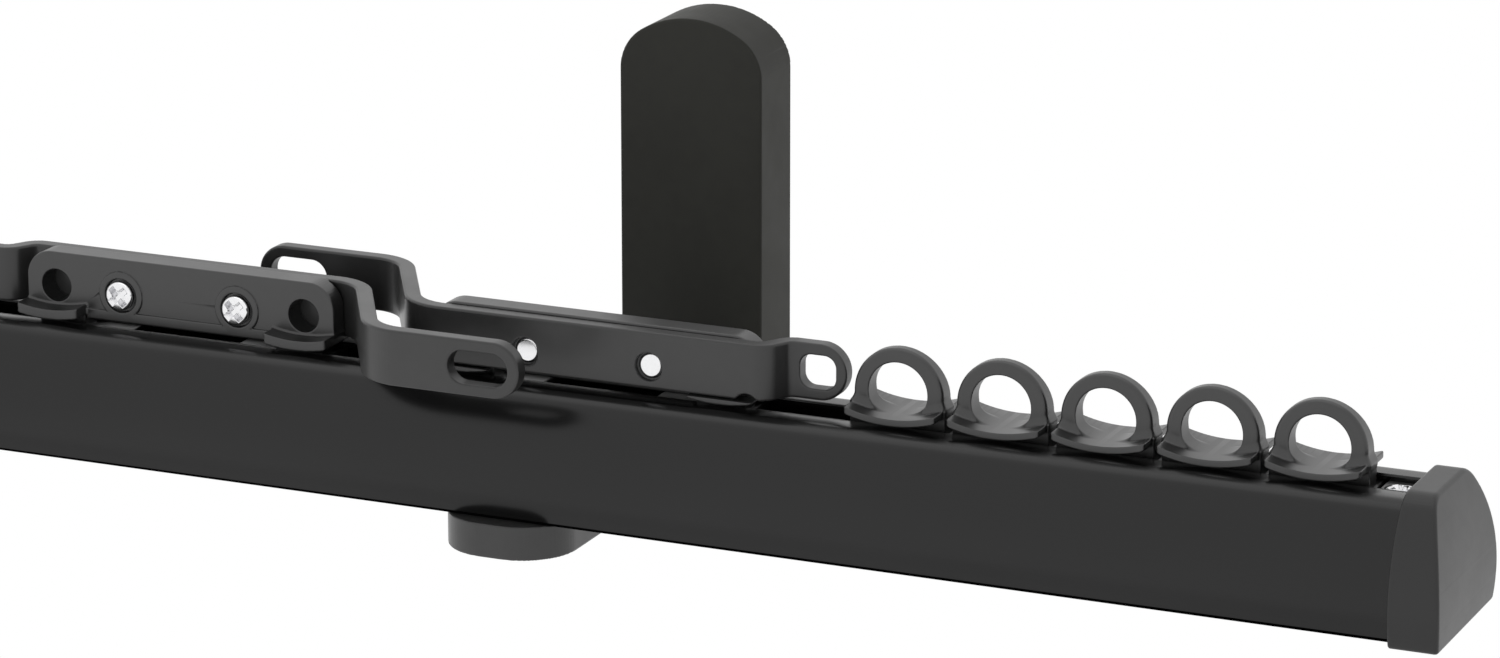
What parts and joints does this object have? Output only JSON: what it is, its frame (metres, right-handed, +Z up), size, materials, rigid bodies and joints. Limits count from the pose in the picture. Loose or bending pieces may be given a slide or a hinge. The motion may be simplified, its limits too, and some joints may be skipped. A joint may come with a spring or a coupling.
{
  "type": "curtain track",
  "caption": "Ornamental curtain track: a slotted barrel section on wall brackets, with ring gliders and overlapping master carriers between end stops.",
  "frame": {"origin": "centre of the four wall screw holes, on the face of the wall", "axes": "+X along the track to its right-hand end, +Y into the wall, +Z up as pictured, slot side up; in use the row hangs turned by 180 degrees about X"},
  "size_m": [0.7202, 0.1089, 0.0855],
  "materials": {
    "track_black": "satin black powder coat on an aluminium extrusion",
    "satin_black": "satin black powder coat",
    "cap_black": "satin black moulding",
    "moulded_black": "satin black moulding",
    "cover_black": "warm black, slightly rough",
    "bright_screw": "bright plated",
    "zinc_steel": "zinc plated"
  },
  "bodies": {
    "rail": {"track": "track_black", "end_cap_right": "cap_black", "end_cap_left": "cap_black", "end_stop_right": "moulded_black", "end_stop_left": "moulded_black", "stop_screws": "bright_screw", "wall_plate_right": "zinc_steel", "wall_cover_right": "cover_black", "bracket_arm_right": "satin_black", "wall_plate_left": "zinc_steel", "wall_cover_left": "cover_black", "bracket_arm_left": "satin_black", "bracket_screws": "bright_screw", "clamp_nut_right": "zinc_steel", "clamp_nut_left": "zinc_steel", "clamp_screws": "bright_screw"},
    "glider_right_5": {"glider_right_5": "moulded_black"},
    "glider_right_4": {"glider_right_4": "moulded_black"},
    "glider_right_3": {"glider_right_3": "moulded_black"},
    "glider_right_2": {"glider_right_2": "moulded_black"},
    "glider_right_1": {"glider_right_1": "moulded_black"},
    "master_right": {"master_block_right": "moulded_black", "master_arm_right": "satin_black", "master_screws_right": "bright_screw"},
    "master_left": {"master_block_left": "moulded_black", "master_arm_left": "satin_black", "master_screws_left": "bright_screw"},
    "glider_left_1": {"glider_left_1": "moulded_black"},
    "glider_left_2": {"glider_left_2": "moulded_black"},
    "glider_left_3": {"glider_left_3": "moulded_black"},
    "glider_left_4": {"glider_left_4": "moulded_black"},
    "glider_left_5": {"glider_left_5": "moulded_black"}
  },
  "joints": [
    {"name": "glider_right_5_slide", "type": "slide", "parent": "rail", "child": "glider_right_5", "axis": [1, 0, 0], "range_m": [-0.02, 0.001]},
    {"name": "glider_right_4_slide", "type": "slide", "parent": "glider_right_5", "child": "glider_right_4", "axis": [1, 0, 0], "range_m": [-0.02, 0]},
    {"name": "glider_right_3_slide", "type": "slide", "parent": "glider_right_4", "child": "glider_right_3", "axis": [1, 0, 0], "range_m": [-0.02, 0]},
    {"name": "glider_right_2_slide", "type": "slide", "parent": "glider_right_3", "child": "glider_right_2", "axis": [1, 0, 0], "range_m": [-0.02, 0]},
    {"name": "glider_right_1_slide", "type": "slide", "parent": "glider_right_2", "child": "glider_right_1", "axis": [1, 0, 0], "range_m": [-0.02, 0]},
    {"name": "master_right_slide", "type": "slide", "parent": "glider_right_1", "child": "master_right", "axis": [1, 0, 0], "range_m": [-0.03, 0]},
    {"name": "master_left_slide", "type": "slide", "parent": "master_right", "child": "master_left", "axis": [1, 0, 0], "range_m": [-0.09, 0.005]},
    {"name": "glider_left_1_slide", "type": "slide", "parent": "master_left", "child": "glider_left_1", "axis": [1, 0, 0], "range_m": [-0.015, 0]},
    {"name": "glider_left_2_slide", "type": "slide", "parent": "glider_left_1", "child": "glider_left_2", "axis": [1, 0, 0], "range_m": [-0.015, 0]},
    {"name": "glider_left_3_slide", "type": "slide", "parent": "glider_left_2", "child": "glider_left_3", "axis": [1, 0, 0], "range_m": [-0.015, 0]},
    {"name": "glider_left_4_slide", "type": "slide", "parent": "glider_left_3", "child": "glider_left_4", "axis": [1, 0, 0], "range_m": [-0.015, 0]},
    {"name": "glider_left_5_slide", "type": "slide", "parent": "glider_left_4", "child": "glider_left_5", "axis": [1, 0, 0], "range_m": [-0.015, 0]}
  ]
}
